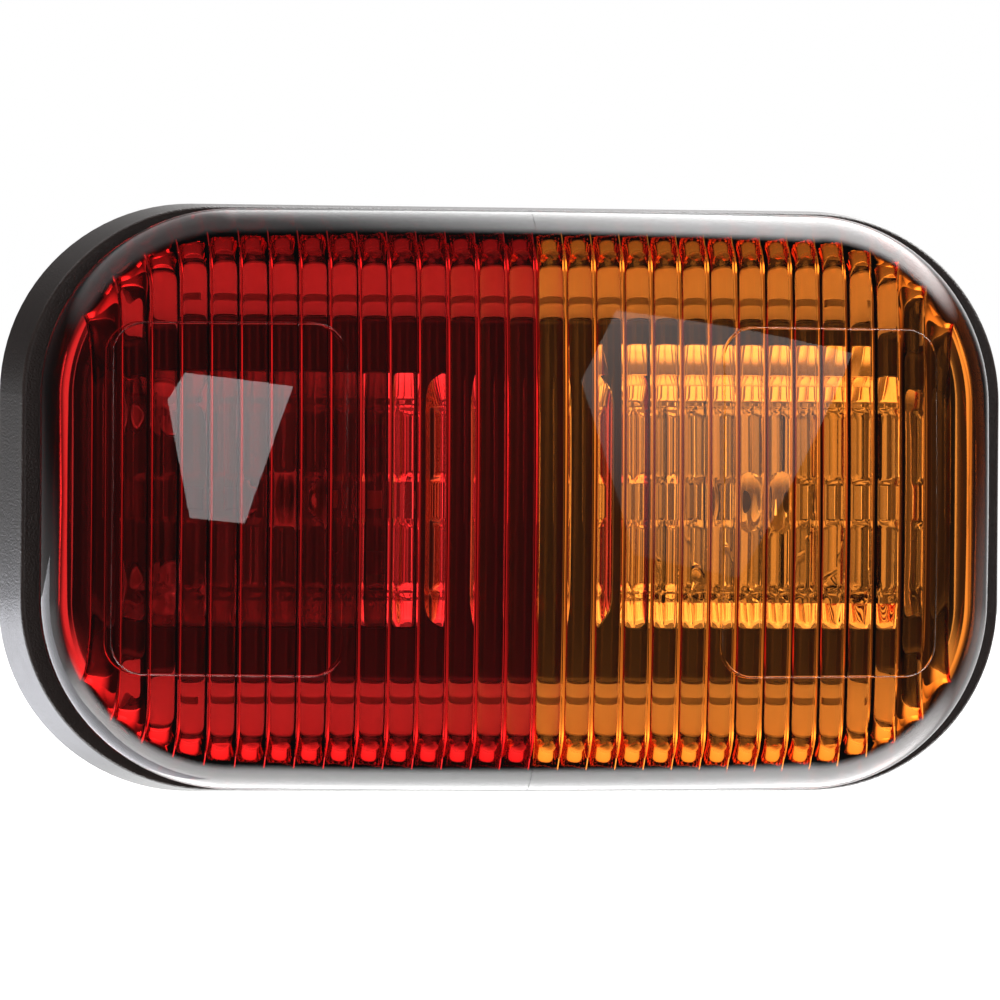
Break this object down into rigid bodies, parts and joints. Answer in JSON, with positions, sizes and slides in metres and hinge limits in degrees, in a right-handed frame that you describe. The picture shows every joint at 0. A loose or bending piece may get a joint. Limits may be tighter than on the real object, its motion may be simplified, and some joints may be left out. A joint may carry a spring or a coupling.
{
  "type": "trailer tail light",
  "caption": "Sealed two-colour LED marker and tail lamp, red and amber fluted lens on a sealed module that clips into a screwed-down base.",
  "frame": {"origin": "midway between the two screw holes, on the mounting face of the base", "axes": "+X along the lamp towards the amber end, +Z across it and up, lens facing -Y, mounting face towards +Y"},
  "size_m": [0.072, 0.02, 0.042],
  "materials": {
    "grained_black_plastic": "moulded with a sand-blasted grain",
    "smooth_black_plastic": "moulded smooth",
    "bezel_black_plastic": "moulded satin",
    "reflector_white_plastic": "white, moulded smooth",
    "sealing_rubber": "soft black rubber",
    "red_acrylic": "polished, clear red",
    "amber_acrylic": "polished, clear amber",
    "clear_acrylic": "polished, clear",
    "board_laminate": "solder mask over glass laminate",
    "screw_steel": "zinc plated",
    "led_ceramic": "white, fired",
    "led_silicone": "clear silicone",
    "resistor_body": "black glaze",
    "chip_plastic": "moulded epoxy",
    "capacitor_ceramic": "tan, fired",
    "pin_brass": "tinned brass",
    "potting_epoxy": "poured black resin"
  },
  "bodies": {
    "base": {"mounting_base": "grained_black_plastic", "base_seal": "sealing_rubber"},
    "module": {"lamp_housing": "smooth_black_plastic", "rim_gasket": "sealing_rubber", "lens_red": "red_acrylic", "lens_amber": "amber_acrylic", "inner_bezel": "bezel_black_plastic", "reflector_strips": "reflector_white_plastic", "optic_red": "clear_acrylic", "optic_amber": "clear_acrylic", "circuit_board": "board_laminate", "board_screws": "screw_steel", "led_red_package": "led_ceramic", "led_red_dome": "led_silicone", "led_amber_package": "led_ceramic", "led_amber_dome": "led_silicone", "resistors": "resistor_body", "rectifier_diodes": "chip_plastic", "filter_capacitors": "capacitor_ceramic", "driver_chip": "chip_plastic", "solder_pins": "pin_brass", "cable_gland": "sealing_rubber", "potting_resin": "potting_epoxy"}
  },
  "joints": [
    {"name": "module_release", "type": "slide", "parent": "base", "child": "module", "axis": [0, -1, 0], "range_m": [0, 0.025]}
  ]
}
